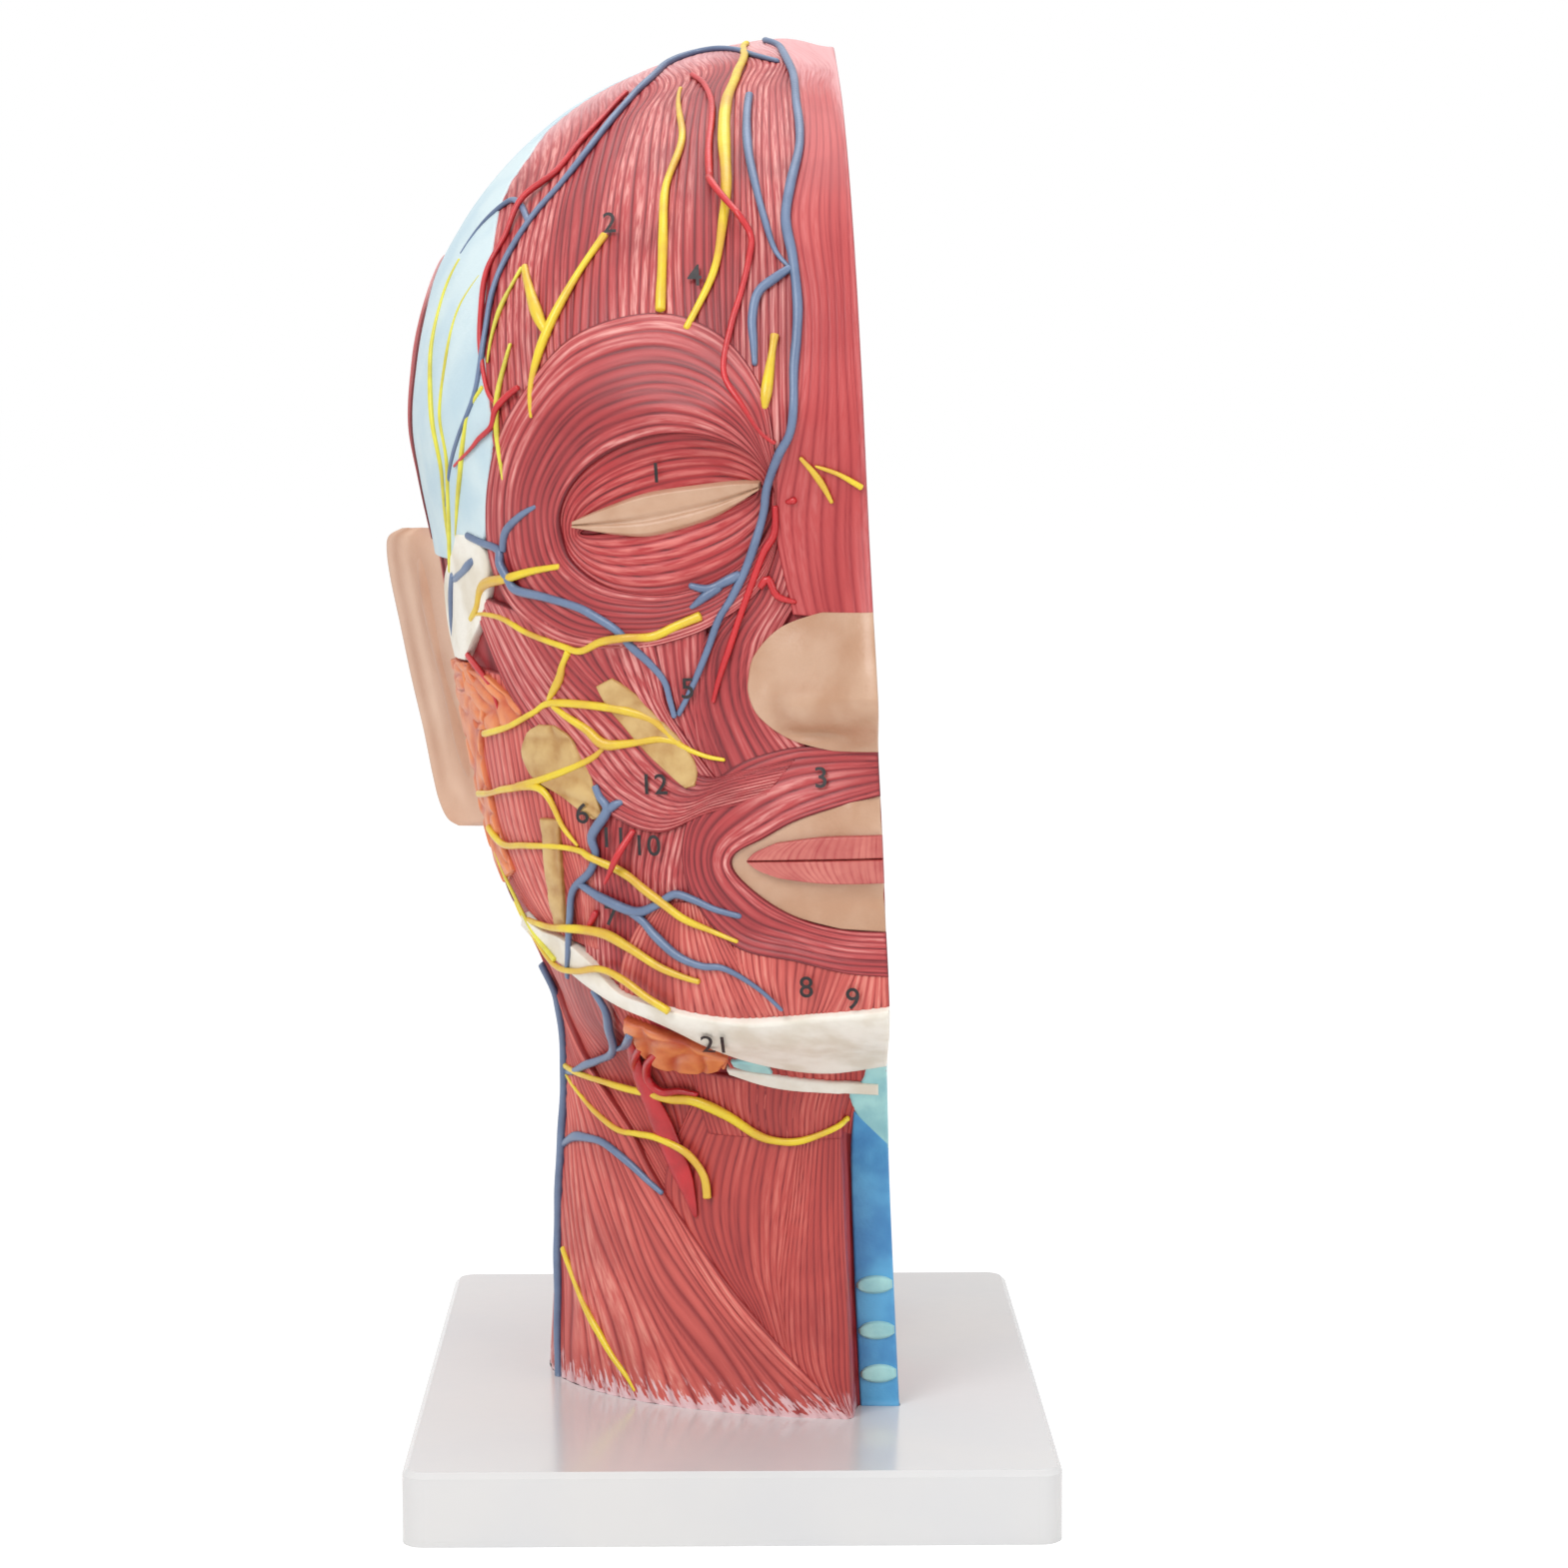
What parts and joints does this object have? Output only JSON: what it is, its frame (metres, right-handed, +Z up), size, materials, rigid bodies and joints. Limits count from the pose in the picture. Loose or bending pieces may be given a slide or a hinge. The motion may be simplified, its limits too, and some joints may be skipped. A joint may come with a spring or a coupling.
{
  "type": "anatomical head model",
  "caption": "Half head teaching model on a flat display base, with the face and neck dissected to show muscles, nerves, vessels, glands and bone.",
  "frame": {"origin": "centre of the display base's underside", "axes": "+Z up through the crown, -Y the way the face looks, the flat section face looks towards +X and the dissected flesh lies towards -X"},
  "size_m": [0.1547, 0.2051, 0.3215],
  "materials": {
    "base_plastic": "gloss white moulding",
    "foot_rubber": "soft grey rubber",
    "screw_steel": "plain steel",
    "shell_plastic": "moulded plastic, dark pink",
    "panel_plastic": "painted flesh red",
    "block_wood": "planed softwood",
    "skin": "painted skin tone, satin",
    "muscle": "painted muscle red, satin",
    "fascia": "painted pale blue, satin",
    "bone": "painted bone, satin",
    "cartilage": "painted pale aqua",
    "windpipe_blue": "painted blue",
    "gland": "painted orange",
    "fat": "painted tan",
    "lip": "painted lip red",
    "nerve": "painted yellow",
    "vein": "painted blue",
    "artery": "painted red",
    "brain": "painted pale pink",
    "disc": "painted grey blue"
  },
  "bodies": {
    "root": {"base_tray": "base_plastic", "rubber_feet": "foot_rubber", "base_screws": "screw_steel", "head_shell": "shell_plastic", "section_panel": "panel_plastic", "neck_block": "block_wood", "ear": "skin", "frontalis": "muscle", "nose_root_muscle": "muscle", "orbicularis_oculi": "muscle", "orbicularis_oris": "muscle", "lip_raisers": "muscle", "zygomatic_muscles": "muscle", "masseter": "muscle", "buccinator": "muscle", "chin_muscles": "muscle", "throat_muscles": "muscle", "strap_muscles": "muscle", "sternocleidomastoid": "muscle", "nape_muscles": "muscle", "occipital_muscle": "muscle", "scalp_fascia": "fascia", "mandible": "bone", "zygomatic_bone": "bone", "hyoid_bone": "bone", "larynx": "cartilage", "windpipe": "windpipe_blue", "windpipe_rings": "cartilage", "parotid_gland": "gland", "submandibular_gland": "gland", "cheek_pads": "fat", "nose_skin": "skin", "mouth_skin": "skin", "lips": "lip", "eyelids": "skin", "forehead_nerves": "nerve", "temple_nerves": "nerve", "facial_nerve": "nerve", "neck_nerves": "nerve", "forehead_veins": "vein", "cheek_veins": "vein", "temporal_veins": "vein", "facial_veins": "vein", "neck_veins": "vein", "forehead_artery": "artery", "temporal_arteries": "artery", "face_arteries": "artery", "carotid_artery": "artery", "skull_section": "bone", "cerebrum": "brain", "corpus_callosum": "brain", "brainstem_and_cord": "nerve", "cerebellum": "brain", "nasal_conchae": "lip", "palate": "bone", "tongue": "lip", "throat_section": "windpipe_blue", "vertebrae": "bone", "spine_discs": "disc"}
  },
  "joints": []
}
